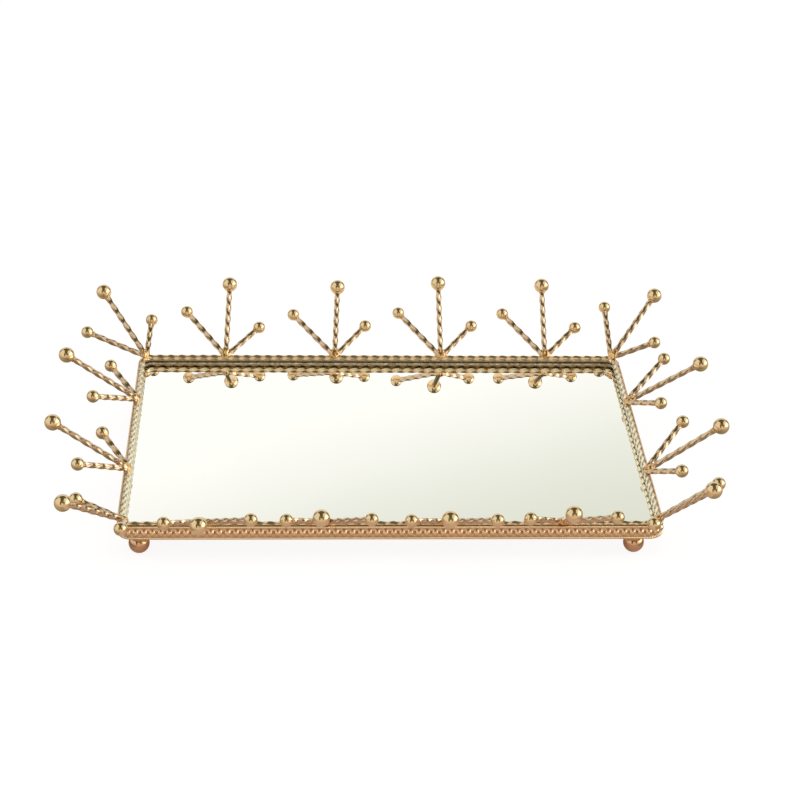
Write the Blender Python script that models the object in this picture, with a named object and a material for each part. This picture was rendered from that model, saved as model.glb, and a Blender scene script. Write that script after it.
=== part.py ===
"""Gold-plated dresser tray: a mirror in a beaded strip, with sprays of ball-tipped wire round its rim.

Metres, +Z up. The origin lies on the surface that the tray stands on, under the middle of the tray.
The long sides run along X and the front faces -Y. Sides and sprays are numbered clockwise from above.
"""

import math

import bmesh
import bpy
from mathutils import Matrix, Vector

MM = 0.001
GAP = 0.3 * MM  # solder or glue line between neighbours

# Frame, measured over the crests of the strip's beads
FRAME_WIDTH = 324 * MM
FRAME_DEPTH = 213 * MM
CORNER_RADIUS = 9.5 * MM

# Gallery strip
STRIP_HEIGHT = 9.2 * MM
STRIP_SHEET = 0.8 * MM
BEAD_RELIEF = 1.1 * MM  # how far the beads stand out from the sheet
BEAD_DIAMETER = 3.8 * MM
RIDGE_RELIEF = 0.7 * MM
RIDGE_HEIGHT = 1.6 * MM
RIDGE_SLOPE = 0.4 * MM  # height over which a ridge runs back into the sheet

# Twisted square wires, all of one stock
WIRE_SIDE = 2.8 * MM
RIM_WIRE_TURN = 28.9 * MM  # length of one full turn of the twist
RIM_WIRE_RISE = -0.4 * MM  # how far the wire's middle lies above the strip's top edge, or below it
STEM_WIRE_TURN = 32 * MM

# Sprays: lengths run from the middle of the rim wire to the middle of the ball
LARGE_BALL = 10 * MM
SMALL_BALL = 8 * MM
MIDDLE_STEM = 54.6 * MM
LEFT_STEM = 42.8 * MM
RIGHT_STEM = 31.1 * MM
LEFT_SPREAD = math.radians(40.6)
RIGHT_SPREAD = math.radians(43.5)
SPRAY_LEAN = math.radians(35.5)  # above the horizontal
LONG_SIDE_SPRAY_COUNT = 4
SHORT_SIDE_SPRAY_COUNT = 2
LONG_SIDE_MARGIN = 55.5 * MM  # from the frame's end to the nearest spray, before the shift
SHORT_SIDE_MARGIN = 64 * MM
LONG_SIDE_SHIFT = 5 * MM  # clockwise, because a spray's left stem is its longer one
SHORT_SIDE_SHIFT = 2.5 * MM
CORNER_RISE = 0.4 * MM  # extra height of a corner spray, where the strip bends away under it
# How a spray bent by hand stands off: degrees of lean, degrees of swing clockwise, mm along the rim
HAND_BEND = {
    "back_1": (0, 2, -2),
    "back_2": (-3.5, 0, 0),
    "back_3": (3.5, -0.5, 0.5),
    "back_4": (0, 0.5, 0),
    "back_right": (-0.5, 0, 0),
    "right_1": (-3.5, 1, -0.5),
    "right_2": (0.5, 0, 0.5),
    "front_right": (9.5, 2.5, 0),
    "front_1": (1.5, 1, 0.5),
    "front_2": (-1.5, 2.5, -2),
    "front_3": (-0.5, 3, -1),
    "front_4": (-5, 0, -0.5),
    "left_1": (-1, 3, -2.5),
    "left_2": (-0.5, -1.5, -1.5),
}
# Degrees of lean and of swing clockwise by which single stems were bent further
STEM_BEND = {
    "back_2_middle": (0, 2.5),
    "back_2_right": (3.5, -1.5),
    "back_left_middle": (0, 2.5),
    "front_4_left": (4, -1.5),
    "front_right_right": (0, 3),
    "left_2_middle": (0, 3.5),
}

# Mirror, cushion sheet and base plate
MIRROR_THICKNESS = 2 * MM
MIRROR_CLEARANCE = 2 * MM  # between the glass and the strip, hidden under the rim wire
CUSHION_THICKNESS = 1 * MM
CUSHION_MARGIN = 0.5 * MM  # how far the cushion sheet stays inside the glass
BASE_THICKNESS = 0.8 * MM

# Feet
FOOT_BALL = 12.5 * MM
FOOT_FLAT = 3.6 * MM  # diameter of the flat worn under the ball
FOOT_PLATE_SIDE = 12 * MM
FOOT_PLATE_THICKNESS = 1.5 * MM
FOOT_WELD = 0.4 * MM  # how deep the ball sinks into its plate
FOOT_PLATE_SHIFT = 1.3 * MM  # how far the plate's middle lies inboard of the ball's
FOOT_INSET_X = 15 * MM
FOOT_SHIFT_X = -2 * MM  # the feet were welded on a little to the left
FOOT_INSET_Y = 10 * MM

# Fineness of the solids
STEPS_PER_TURN = 8
CORNER_STEPS = 4
BEND_STEPS = 6  # of the rim wire, over half a corner
BULGE_STEPS = 4
BALL_SEGMENTS = 10
BALL_RINGS = 6
FOOT_SEGMENTS = 12
FOOT_RINGS = 8
SMOOTH_BELOW = math.radians(40)
SHARPEST_CORNER = 0.2 * MM
WELD = 0.001 * MM

# Heights and clear widths that follow from the sizes above
WIRE_RADIUS = WIRE_SIDE / math.sqrt(2)
FOOT_MIDDLE_Z = math.sqrt((FOOT_BALL / 2) ** 2 - (FOOT_FLAT / 2) ** 2)
FOOT_PLATE_Z = FOOT_MIDDLE_Z + FOOT_BALL / 2 - FOOT_WELD
FRAME_Z = FOOT_PLATE_Z + FOOT_PLATE_THICKNESS + GAP
CUSHION_Z = FRAME_Z + BASE_THICKNESS + GAP
MIRROR_Z = CUSHION_Z + CUSHION_THICKNESS + GAP
STRIP_TOP = FRAME_Z + STRIP_HEIGHT
RIM_WIRE_Z = STRIP_TOP + RIM_WIRE_RISE
STRIP_INSET = STRIP_SHEET + BEAD_RELIEF
BASE_INSET = STRIP_INSET + GAP
RIM_WIRE_REACH = math.sqrt((WIRE_RADIUS + GAP) ** 2 - max(RIM_WIRE_RISE, 0) ** 2)  # in from the strip
RIM_WIRE_INSET = STRIP_INSET + RIM_WIRE_REACH
MIRROR_INSET = STRIP_INSET + MIRROR_CLEARANCE
CUSHION_INSET = MIRROR_INSET + CUSHION_MARGIN
SIDE_STEM_START = WIRE_RADIUS + GAP

GOLD = (0.80, 0.56, 0.27)
PALE_GOLD = (0.86, 0.68, 0.40)
ROSE_GOLD = (0.78, 0.48, 0.25)
SILVERED_GLASS = (0.90, 0.92, 0.89)
BLACK_FELT = (0.03, 0.03, 0.03)


def clear_scene():
    for obj in list(bpy.data.objects):
        bpy.data.objects.remove(obj)


def new_collection(name):
    collection = bpy.data.collections.new(name)
    bpy.context.scene.collection.children.link(collection)
    return collection


def new_material(name, colour, roughness, metallic):
    material = bpy.data.materials.new(name)
    material.use_nodes = True
    shader = material.node_tree.nodes["Principled BSDF"]
    shader.inputs["Base Color"].default_value = (*colour, 1)
    shader.inputs["Roughness"].default_value = roughness
    shader.inputs["Metallic"].default_value = metallic
    return material


def new_object(name, data, material=None):
    obj = bpy.data.objects.new(name, data)
    if material:
        data.materials.clear()
        data.materials.append(material)
    parts.objects.link(obj)
    return obj


def remove_object(obj):
    bpy.data.objects.remove(obj)


def evaluated_mesh(obj):
    """The object's shape, modifiers included, as a new mesh with a curve's loose caps welded on."""
    bpy.context.view_layer.update()
    graph = bpy.context.evaluated_depsgraph_get()
    mesh = bpy.data.meshes.new_from_object(obj.evaluated_get(graph))
    shape = bmesh.new()
    shape.from_mesh(mesh)
    bmesh.ops.remove_doubles(shape, verts=shape.verts, dist=WELD)
    shape.to_mesh(mesh)
    shape.free()
    return mesh


def mesh_of(name, shape):
    """A mesh of a finished bmesh, which is freed."""
    bmesh.ops.recalc_face_normals(shape, faces=shape.faces)
    mesh = bpy.data.meshes.new(name)
    shape.to_mesh(mesh)
    shape.free()
    return mesh


def cut_away(shape, place, keep):
    """Cuts off what lies behind the plane through place that faces keep, and closes the cut."""
    whole = [*shape.verts, *shape.edges, *shape.faces]
    cut = bmesh.ops.bisect_plane(
        shape, geom=whole, plane_co=place, plane_no=keep, clear_inner=True
    )
    edges = [part for part in cut["geom_cut"] if isinstance(part, bmesh.types.BMEdge)]
    bmesh.ops.edgeloop_fill(shape, edges=edges)


def united(name, first, second):
    """One smooth-shaded mesh of the two meshes' union."""
    body = new_object(name, first)
    other = new_object(name + "_other", second)
    union = body.modifiers.new("union", "BOOLEAN")
    union.operation = "UNION"
    union.object = other
    mesh = evaluated_mesh(body)
    mesh.name = name
    mesh.shade_smooth()
    mesh.set_sharp_from_angle(angle=SMOOTH_BELOW)
    remove_object(body)
    remove_object(other)
    return mesh


def poly_curve(name, points, cyclic):
    curve = bpy.data.curves.new(name, "CURVE")
    spline = curve.splines.new("POLY")
    spline.points.add(len(points) - 1)
    spline.use_cyclic_u = cyclic
    for point, place in zip(spline.points, points):
        point.co = (*place, 1)
    return curve


def twisted_wire(name, points, side, angles):
    """A square wire along the points, turned by an angle at each of them."""
    curve = poly_curve(name, points, False)
    curve.dimensions = "3D"
    curve.twist_mode = "Z_UP"
    curve.bevel_depth = side / math.sqrt(2)
    curve.bevel_resolution = 0
    curve.use_fill_caps = True
    for point, angle in zip(curve.splines[0].points, angles):
        point.tilt = angle
    return curve


def corner_radius(inset):
    return max(CORNER_RADIUS - inset, SHARPEST_CORNER)


def outline(inset, z=0.0):
    """The frame's outline moved in by inset, anticlockwise from above, with its corners as arcs."""
    radius = corner_radius(inset)
    half_width = FRAME_WIDTH / 2 - inset - radius
    half_depth = FRAME_DEPTH / 2 - inset - radius
    points = []
    for number, (x, y) in enumerate(((1, -1), (1, 1), (-1, 1), (-1, -1))):
        middle = Vector((x * half_width, y * half_depth, z))
        for step in range(CORNER_STEPS + 1):
            angle = math.pi / 2 * (number - 1 + step / CORNER_STEPS)
            points.append(middle + radius * Vector((math.cos(angle), math.sin(angle), 0)))
    return points


def walk(inset, distance):
    """The place reached by going this far along the outline, anticlockwise from the front's left end."""
    radius = corner_radius(inset)
    place = Vector((inset + radius - FRAME_WIDTH / 2, inset - FRAME_DEPTH / 2, RIM_WIRE_Z))
    for side in range(4):
        heading = Matrix.Rotation(math.pi / 2 * side, 3, "Z")
        straight = (FRAME_DEPTH if side % 2 else FRAME_WIDTH) - 2 * (inset + radius)
        place += heading @ Vector((min(distance, straight), 0, 0))
        distance -= min(distance, straight)
        turn = min(distance / radius, math.pi / 2)
        place += heading @ Vector((math.sin(turn), 1 - math.cos(turn), 0)) * radius
        distance -= turn * radius
    return place


def outline_length(inset):
    radius = corner_radius(inset)
    return 2 * (FRAME_WIDTH + FRAME_DEPTH) - 8 * (inset + radius) + 2 * math.pi * radius


def strip_profile():
    """The strip's section as (out from its inner face, up from its lower edge): ridge, bead row, ridge."""
    ridge = STRIP_SHEET + RIDGE_RELIEF
    middle = STRIP_HEIGHT / 2
    lower = [(0, 0), (ridge, 0), (ridge, RIDGE_HEIGHT), (STRIP_SHEET, RIDGE_HEIGHT + RIDGE_SLOPE)]
    bulge = []
    for step in range(BULGE_STEPS + 1):
        angle = math.pi * (step / BULGE_STEPS - 0.5)
        out = STRIP_SHEET + BEAD_RELIEF * math.cos(angle)
        bulge.append((out, middle + BEAD_DIAMETER / 2 * math.sin(angle)))
    upper = [(out, STRIP_HEIGHT - up) for out, up in reversed(lower)]
    return lower + bulge + upper


def make_gallery_strip():
    section = poly_curve("strip_section", [(out, up, 0) for out, up in reversed(strip_profile())], True)
    section.dimensions = "2D"
    guide = new_object("strip_section", section)
    path = poly_curve("gallery_strip", outline(STRIP_INSET, FRAME_Z), True)
    path.dimensions = "3D"
    path.twist_mode = "Z_UP"
    path.bevel_mode = "OBJECT"
    path.bevel_object = guide
    swept = new_object("strip_path", path)
    mesh = evaluated_mesh(swept)
    remove_object(swept)
    remove_object(guide)
    new_object("gallery_strip", mesh, rose_gold)


def stops_along(start, *stretches):
    """Distances from start on, over stretches of (length, number of equal steps)."""
    stops = [start]
    for length, steps in stretches:
        stops += [stops[-1] + length * (step + 1) / steps for step in range(steps)]
    return stops


def make_rim_wires():
    """Four lengths of rim wire, which meet in the middles of the corners and carry on one twist."""
    radius = corner_radius(RIM_WIRE_INSET)
    length = outline_length(RIM_WIRE_INSET)
    twist = -2 * math.pi * round(length / RIM_WIRE_TURN) / length
    bend = (math.pi / 4 * radius - GAP / 2, BEND_STEPS)
    start = -bend[0]
    for side in ("front", "right", "back", "left"):
        straight = (FRAME_WIDTH if side in ("front", "back") else FRAME_DEPTH) - 2 * (RIM_WIRE_INSET + radius)
        steps = math.ceil(straight / RIM_WIRE_TURN * STEPS_PER_TURN)
        stops = stops_along(start, bend, (straight, steps), bend)
        points = [walk(RIM_WIRE_INSET, stop % length) for stop in stops]
        angles = [twist * stop for stop in stops]
        wire = twisted_wire("rim_wire_" + side, points, WIRE_SIDE, angles)
        new_object("rim_wire_" + side, wire, pale_gold)
        start = stops[-1] + GAP


def make_plate(name, inset, z, thickness, material):
    curve = poly_curve(name, outline(inset), True)
    curve.dimensions = "2D"
    curve.fill_mode = "BOTH"
    curve.extrude = thickness / 2
    plate = new_object(name, curve, material)
    plate.location.z = z + thickness / 2


def spray_rise(lean):
    """How far above the rim wire's middle a spray starts, so that its stems clear the strip's edge."""
    clear = WIRE_RADIUS + GAP
    return max(0, (clear - RIM_WIRE_REACH * math.sin(lean)) / math.cos(lean) - RIM_WIRE_RISE)


def stem_mesh(name, length, spread, ball):
    """A stem in its spray's plane: X clockwise along the rim, Y out along the lean from over the rim wire."""
    along = Vector((math.sin(spread), math.cos(spread), 0))
    wire_length = length - ball / 4  # it ends halfway between the ball's skin and its middle
    steps = math.ceil(wire_length / STEM_WIRE_TURN * STEPS_PER_TURN)
    stops = stops_along(0, (wire_length, steps))
    points = [along * stop for stop in stops]
    angles = [-2 * math.pi * stop / STEM_WIRE_TURN for stop in stops]
    wire = new_object(name, twisted_wire(name, points, WIRE_SIDE, angles))
    shape = bmesh.new()
    shape.from_mesh(evaluated_mesh(wire))
    remove_object(wire)
    start = WIRE_RADIUS + GAP - spray_rise(SPRAY_LEAN) * math.sin(SPRAY_LEAN)
    cut_away(shape, Vector((0, start, 0)), Vector((0, 1, 0)))
    if spread:
        side = Vector((math.copysign(1, spread), 0, 0))
        cut_away(shape, side * SIDE_STEM_START, side)
    head = bmesh.new()
    pole = Vector((0, 0, 1)).rotation_difference(along).to_matrix().to_4x4()
    bmesh.ops.create_uvsphere(
        head,
        u_segments=BALL_SEGMENTS,
        v_segments=BALL_RINGS,
        radius=ball / 2,
        matrix=Matrix.Translation(along * length) @ pole,
    )
    return united(name, mesh_of(name, shape), mesh_of(name, head))


def make_spray(name, place, heading, extra_rise=0.0):
    """Three stems on an empty over the rim wire; heading turns from the back, anticlockwise from above."""
    bend, swing, shift = HAND_BEND.get(name, (0, 0, 0))
    lean = SPRAY_LEAN + math.radians(bend)
    turn = Matrix.Rotation(heading, 3, "Z")
    holder = bpy.data.objects.new("spray_" + name, None)
    holder.empty_display_size = LARGE_BALL
    holder.location = place + turn @ Vector((shift * MM, 0, spray_rise(lean) + extra_rise))
    holder.rotation_euler = (lean, 0, heading)
    parts.objects.link(holder)
    for stem, mesh in stem_meshes.items():
        lift, sway = STEM_BEND.get(f"{name}_{stem}", (0, 0))
        obj = new_object(f"spray_{name}_{stem}", mesh)
        obj.rotation_euler = (math.radians(lift), 0, -math.radians(swing + sway))
        obj.parent = holder


def make_side_sprays(side, heading, reach, length, count, margin, shift):
    """A side's sprays: reach is how far its rim wire lies from the tray's middle."""
    pitch = (length - 2 * margin) / (count - 1)
    turn = Matrix.Rotation(heading, 3, "Z")
    for number in range(count):
        along = shift + pitch * (number - (count - 1) / 2)
        make_spray(f"{side}_{number + 1}", turn @ Vector((along, reach, RIM_WIRE_Z)), heading)


def make_corner_spray(name, x, y):
    inset = RIM_WIRE_INSET + corner_radius(RIM_WIRE_INSET) * (1 - 1 / math.sqrt(2))
    place = Vector((x * (FRAME_WIDTH / 2 - inset), y * (FRAME_DEPTH / 2 - inset), RIM_WIRE_Z))
    make_spray(name, place, math.atan2(-x, y), CORNER_RISE)


def make_sprays():
    half_depth = FRAME_DEPTH / 2 - RIM_WIRE_INSET
    half_width = FRAME_WIDTH / 2 - RIM_WIRE_INSET
    long_side = (half_depth, FRAME_WIDTH, LONG_SIDE_SPRAY_COUNT, LONG_SIDE_MARGIN, LONG_SIDE_SHIFT)
    short_side = (half_width, FRAME_DEPTH, SHORT_SIDE_SPRAY_COUNT, SHORT_SIDE_MARGIN, SHORT_SIDE_SHIFT)
    make_side_sprays("back", 0, *long_side)
    make_side_sprays("left", math.pi / 2, *short_side)
    make_side_sprays("front", math.pi, *long_side)
    make_side_sprays("right", -math.pi / 2, *short_side)
    make_corner_spray("back_left", -1, 1)
    make_corner_spray("back_right", 1, 1)
    make_corner_spray("front_left", -1, -1)
    make_corner_spray("front_right", 1, -1)


def foot_mesh(x, y):
    """A ball with a flat underneath, on a plate whose middle lies inboard; x and y are the foot's corner."""
    ball = bmesh.new()
    bmesh.ops.create_uvsphere(
        ball,
        u_segments=FOOT_SEGMENTS,
        v_segments=FOOT_RINGS,
        radius=FOOT_BALL / 2,
        matrix=Matrix.Translation((0, 0, FOOT_MIDDLE_Z)),
    )
    cut_away(ball, Vector((0, 0, 0)), Vector((0, 0, 1)))
    plate = bmesh.new()
    size = Matrix.Diagonal((FOOT_PLATE_SIDE, FOOT_PLATE_SIDE, FOOT_PLATE_THICKNESS, 1))
    middle = (
        -x * FOOT_PLATE_SHIFT,
        -y * FOOT_PLATE_SHIFT,
        FOOT_PLATE_Z + FOOT_PLATE_THICKNESS / 2,
    )
    bmesh.ops.create_cube(plate, size=1, matrix=Matrix.Translation(middle) @ size)
    return united("foot", mesh_of("foot_ball", ball), mesh_of("foot_plate", plate))


def make_feet():
    for side, y in (("front", -1), ("back", 1)):
        for end, x in (("left", -1), ("right", 1)):
            foot = new_object(f"foot_{side}_{end}", foot_mesh(x, y), rose_gold)
            foot.location.x = x * (FRAME_WIDTH / 2 - FOOT_INSET_X) + FOOT_SHIFT_X
            foot.location.y = y * (FRAME_DEPTH / 2 - FOOT_INSET_Y)


clear_scene()
parts = new_collection("dresser_vanity_tray")
gold = new_material("gold", GOLD, 0.2, 1)
pale_gold = new_material("pale_gold", PALE_GOLD, 0.22, 1)
rose_gold = new_material("rose_gold", ROSE_GOLD, 0.25, 1)
silvered_glass = new_material("silvered_glass", SILVERED_GLASS, 0.02, 1)
black_felt = new_material("black_felt", BLACK_FELT, 0.95, 0)

stem_meshes = {
    "middle": stem_mesh("middle", MIDDLE_STEM, 0, LARGE_BALL),
    "left": stem_mesh("left", LEFT_STEM, -LEFT_SPREAD, SMALL_BALL),
    "right": stem_mesh("right", RIGHT_STEM, RIGHT_SPREAD, SMALL_BALL),
}
for mesh in stem_meshes.values():
    mesh.materials.clear()
    mesh.materials.append(gold)

make_gallery_strip()
make_rim_wires()
make_plate("base_plate", BASE_INSET, FRAME_Z, BASE_THICKNESS, gold)
make_plate("cushion_sheet", CUSHION_INSET, CUSHION_Z, CUSHION_THICKNESS, black_felt)
make_plate("mirror_glass", MIRROR_INSET, MIRROR_Z, MIRROR_THICKNESS, silvered_glass)
make_feet()
make_sprays()
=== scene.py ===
"""Looks of the gold-plated mirror tray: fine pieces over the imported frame, finishes, light and camera.

Metres, +Z up, in the frame's own axes: the long sides run along X and the front faces -Y.
"""

import itertools
import math

import bmesh
import bpy
import numpy as np
from mathutils import Matrix, Vector, noise


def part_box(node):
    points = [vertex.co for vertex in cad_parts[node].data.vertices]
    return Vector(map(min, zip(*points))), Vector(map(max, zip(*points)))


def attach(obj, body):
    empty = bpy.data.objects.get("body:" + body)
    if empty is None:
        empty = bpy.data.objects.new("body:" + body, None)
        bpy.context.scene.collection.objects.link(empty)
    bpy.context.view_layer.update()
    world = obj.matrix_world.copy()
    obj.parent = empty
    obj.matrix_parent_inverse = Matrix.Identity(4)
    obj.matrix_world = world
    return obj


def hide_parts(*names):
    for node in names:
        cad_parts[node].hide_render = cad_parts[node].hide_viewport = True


MM = 0.001

# Frame, measured over the crests of the strip's beads
FRAME_WIDTH = 324 * MM
FRAME_DEPTH = 213 * MM
CORNER_RADIUS = 9.5 * MM
LONG_SIDES = ("front", "back")

# Gallery strip
STRIP_HEIGHT = 9.2 * MM
STRIP_SHEET = 0.3 * MM
BEAD_RELIEF = 1.6 * MM  # how far the beads stand out from the sheet
BEAD_DIAMETER = 4.5 * MM
BEAD_PITCH = 4.87 * MM
RIDGE_RELIEF = 1.1 * MM
RIDGE_EDGE = 0.35  # share of that relief at a ridge's edges
RIDGE_HEIGHT = 1.6 * MM
RIDGE_SLOPE = 0.3 * MM
FLUTE_DEPTH = 0.3 * MM
FLUTES_PER_BEAD = 5
COLUMNS_PER_FLUTE = 6
BEAD_ROWS = 15
RIDGE_ROWS = 6

# Twisted square wires, all of one stock
WIRE_SIDE = 3 * MM
WIRE_FULLNESS = 6  # 2 is a round wire, and a sharp square has no limit
WIRE_POINTS = 24
RIM_WIRE_TURN = 28.9 * MM
RIM_WIRE_INSET = 3.6 * MM  # where it leans on the strip
RIM_WIRE_Z = 22.7 * MM
STEM_WIRE_TURN = 32 * MM
STEPS_PER_TURN = 32

# Seams: solder between the rim wire and the strip, and glue between the mirror's edge and the strip
SEAM_SIDES = 10
SEAM_UNEVENNESS = 0.25
SEAM_WAVE = 3 * MM
SOLDER_SIZE = (1.5 * MM, 1.4 * MM)  # across and up
SOLDER_INSET = 2.1 * MM
SOLDER_Z = 22.5 * MM
SEAL_SIZE = (2.3 * MM, 1 * MM)
SEAL_INSET = 2.9 * MM
SEAL_Z = 18 * MM

# Sprays: lengths run from where the spray starts to the middle of the ball
LARGE_BALL = 10 * MM
SMALL_BALL = 8 * MM
MIDDLE_STEM = 54.6 * MM
LEFT_STEM = 42.8 * MM
RIGHT_STEM = 31.1 * MM
LEFT_SPREAD = math.radians(40.6)
RIGHT_SPREAD = math.radians(43.5)
STEMS = {
    "middle": (MIDDLE_STEM, 0, LARGE_BALL),
    "left": (LEFT_STEM, -LEFT_SPREAD, SMALL_BALL),
    "right": (RIGHT_STEM, RIGHT_SPREAD, SMALL_BALL),
}
WIRE_STOP = 0.25  # how far short of the ball's middle the wire stops, as a share of its diameter
SPRAY_LEAN = math.radians(35.5)
SPRAY_INSET = 4.18 * MM  # where a spray starts, over the rim wire
SPRAY_Z = 22.435 * MM
SPRAY_REACH = 2.28 * MM  # from there out to the strip's edge
SPRAY_RISE = -0.4 * MM  # how far it starts above that edge
SPRAY_CLEARANCE = 2.28 * MM  # least distance from the middle of a stem to that edge
LONG_SIDE_SPRAYS = 4
SHORT_SIDE_SPRAYS = 2
LONG_SIDE_MARGIN = 55.5 * MM
SHORT_SIDE_MARGIN = 64 * MM
LONG_SIDE_SHIFT = 5 * MM  # how far a side's sprays are set clockwise of its middle
SHORT_SIDE_SHIFT = 2.5 * MM
CORNER_RISE = 0.4 * MM
# How a spray bent by hand stands off: degrees of lean, degrees of swing clockwise, mm along the rim
HAND_BEND = {
    "back_1": (0, 2, -2),
    "back_2": (-3.5, 0, 0),
    "back_3": (3.5, -0.5, 0.5),
    "back_4": (0, 0.5, 0),
    "back_right": (-0.5, 0, 0),
    "right_1": (-3.5, 1, -0.5),
    "right_2": (0.5, 0, 0.5),
    "front_right": (9.5, 2.5, 0),
    "front_1": (1.5, 1, 0.5),
    "front_2": (-1.5, 2.5, -2),
    "front_3": (-0.5, 3, -1),
    "front_4": (-5, 0, -0.5),
    "left_1": (-1, 3, -2.5),
    "left_2": (-0.5, -1.5, -1.5),
}
# Degrees of lean and of swing clockwise by which single stems were bent further
STEM_BEND = {
    "back_2_middle": (0, 2.5),
    "back_2_right": (3.5, -1.5),
    "back_left_middle": (0, 2.5),
    "front_4_left": (4, -1.5),
    "front_right_right": (0, 3),
    "left_2_middle": (0, 3.5),
}

# Welds: lumps are shares of a weld's size by which its skin goes in and out, with a wave of that length
COLLAR_RADIUS = 2 * MM  # bead of weld where a stem meets its ball
COLLAR_LENGTH = 2 * MM
COLLAR_LUMPS = 0.22
COLLAR_WAVE = 1.3 * MM
WELD_SIZE = (6.6 * MM, 7.6 * MM, 4.8 * MM)  # weld at the foot of a spray: along the rim, outwards, across
WELD_MIDDLE = 2.6 * MM
WELD_LUMPS = 0.3
WELD_WAVE = 1.9 * MM
LUMP_SUBDIVISIONS = 4
SEED_STEP = Vector((7.3, 3.1, 5.7))  # how far apart in the noise two seeds lie
FIRST_SPRAY_SEED = 1
FIRST_FOOT_SEED = 20
FIRST_COLLAR_SEED = 31

# Mirror
MIRROR_INSET = 3.9 * MM
MIRROR_ARRIS = 0.3 * MM

# Feet
FOOT_BALL = 12.5 * MM
FOOT_FLAT = 3.6 * MM
FOOT_FLAT_RINGS = (0.05, 0.6)  # rings of points inside the flat, as shares of its radius
FOOT_BALL_TIP = 0.01 * MM  # least radius of a ring, so that the ball's top has no faces without area
FOOT_PLATE_SIDE = 12 * MM
FOOT_PLATE_THICKNESS = 1.5 * MM
FOOT_PLATE_EASE = 0.3 * MM
FOOT_PLATE_SHIFT = 1.3 * MM
FOOT_INSET_X = 15 * MM
FOOT_SHIFT_X = -2 * MM
FOOT_INSET_Y = 10 * MM
FOOT_WELD_RADIUS = 3.2 * MM
FOOT_WELD_HEIGHT = 2 * MM

# Fineness
BALL_SEGMENTS = 40
BALL_RINGS = 20
CORNER_STEPS = 12
EASE_SEGMENTS = 3
EASE_PROFILE = 0.5  # a round edge
SMOOTH_BELOW = math.radians(38)

# Platings: colour, what it is multiplied by where the painted shade and grime of the recesses are full,
# and least and most roughness
PLATINGS = {
    "gold": ((0.79, 0.61, 0.36), (0.28, 0.18, 0.09), (0.06, 0.14)),
    "wire_gold": ((0.66, 0.50, 0.33), (0.18, 0.1, 0.05), (0.1, 0.2)),
    # The next two are one wire's plating: paler as painted light, browner as painted shade.
    "pale_gold": ((1.0, 0.92, 0.70), (0.40, 0.31, 0.18), (0.2, 0.3)),
    "shaded_rim_gold": ((0.87, 0.69, 0.45), (0.30, 0.2, 0.1), (0.16, 0.26)),
    "rose_gold": ((0.89, 0.66, 0.41), (0.16, 0.08, 0.04), (0.09, 0.17)),
    # A darker, duller copy of the strip's plating for its inner face; the dark is painted shade under the
    # rim wire.
    "shaded_inner_gold": ((0.45, 0.35, 0.19), (0.20, 0.14, 0.07), (0.2, 0.35)),
    # A rosier, darker copy of the rose gold for the feet; the dark is painted shade from the tray above
    # them.
    "shaded_copper_rose": ((0.69, 0.44, 0.27), (0.26, 0.14, 0.08), (0.07, 0.15)),
    "weld_gold": ((0.80, 0.50, 0.22), (0.26, 0.13, 0.05), (0.16, 0.3)),
    "solder": ((0.42, 0.24, 0.12), (0.3, 0.2, 0.1), (0.3, 0.45)),
}
WHITE = (1, 1, 1)
RECESS_REACH = 1.5 * MM  # how far off a wall still makes a recess
DEEP_SHADE_AND_GRIME = (0.1, 0.6)  # how open a recess is where the painted shade and grime fill it and where they end
SHALLOW_SHADE_AND_GRIME = (0.4, 0.92)  # the same for the strip, whose grooves are shallow
CLOUD_SCALE = 70.0  # features about 14 mm across
CLOUD_DETAIL = 4.0
CLOUD_SHADE = 0.9
GRAIN_SCALE = 1500.0
GRAIN_DETAIL = 2.0
GRAIN_BUMP = (0.02 * MM, 0.25)  # depth and strength

# Other finishes: scale of the noise, its values at the first and the last tone, and those tones
TONE_ENDS = (0.3, 0.7)
TONE_DETAIL = 3.0
SILVER_SCALE = 18.0
SILVER_TONES = ((0.95, 0.955, 0.935), (0.965, 0.97, 0.95))
EDGE_SCALE = 900.0
EDGE_TONES = ((0.42, 0.44, 0.34), (0.60, 0.62, 0.52))
EDGE_ROUGHNESS = (0.2, 0.4)
EDGE_BUMP = (0.05 * MM, 0.4)
GLUE_SCALE = 420.0
GLUE_ENDS = (0.35, 0.65)
GLUE_TONES = ((0.42, 0.41, 0.34), (0.97, 0.95, 0.87))
GLUE_ROUGHNESS = (0.1, 0.3)
GLUE_BUMP = (0.5 * MM, 0.6)
FELT_SCALE = 2500.0
FELT_DETAIL = 4.0
FELT_ENDS = (0.3, 0.75)
FELT_TONES = ((0.012, 0.012, 0.012), (0.05, 0.048, 0.045))
FELT_ROUGHNESS = 0.95
FELT_BUMP = (0.2 * MM, 0.8)
PAINT_SCALE = 40.0
PAINT_TONES = ((0.16, 0.165, 0.16), (0.22, 0.22, 0.21))
PAINT_ROUGHNESS = 0.6

# Floor: the tones that the metal sees, and what the camera sees
FLOOR_SIZE = 8.0
FLOOR_TURNS = (-120 * MM, 120 * MM)  # where the tone turns from the front one to the back one
FLOOR_SIDES = (155 * MM, 175 * MM)  # how far from the tray's middle line it turns to the side one, a painted shadow beside the tray
FLOOR_FADES = (170 * MM, 500 * MM)  # how far from the tray's middle it turns to the far one
FRONT_FLOOR = (0.65, 0.5, 0.46)
BACK_FLOOR = (0.9, 0.86, 0.8)
# Painted shadow: the dark floor that the metal sees beside the tray's short sides.
SIDE_FLOOR_SHADOW = (0.22, 0.18, 0.1)
FAR_FLOOR = (0.85, 0.72, 0.62)
CAMERA_FLOOR = (0.16, 0.16, 0.16)
FLOOR_LIFT = 0.89  # share of the camera's white that the floor itself gives, so its shadow stays faint
FLOOR_GLOW = 0.1  # the same for what the metal sees of it
GLOW_AGAIN = 0.3  # how much more of it is seen by way of two pieces, such as the mirror and a ball
GLOW_AGAIN_DEPTH = 1.5  # ray depth past which that is so

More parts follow.
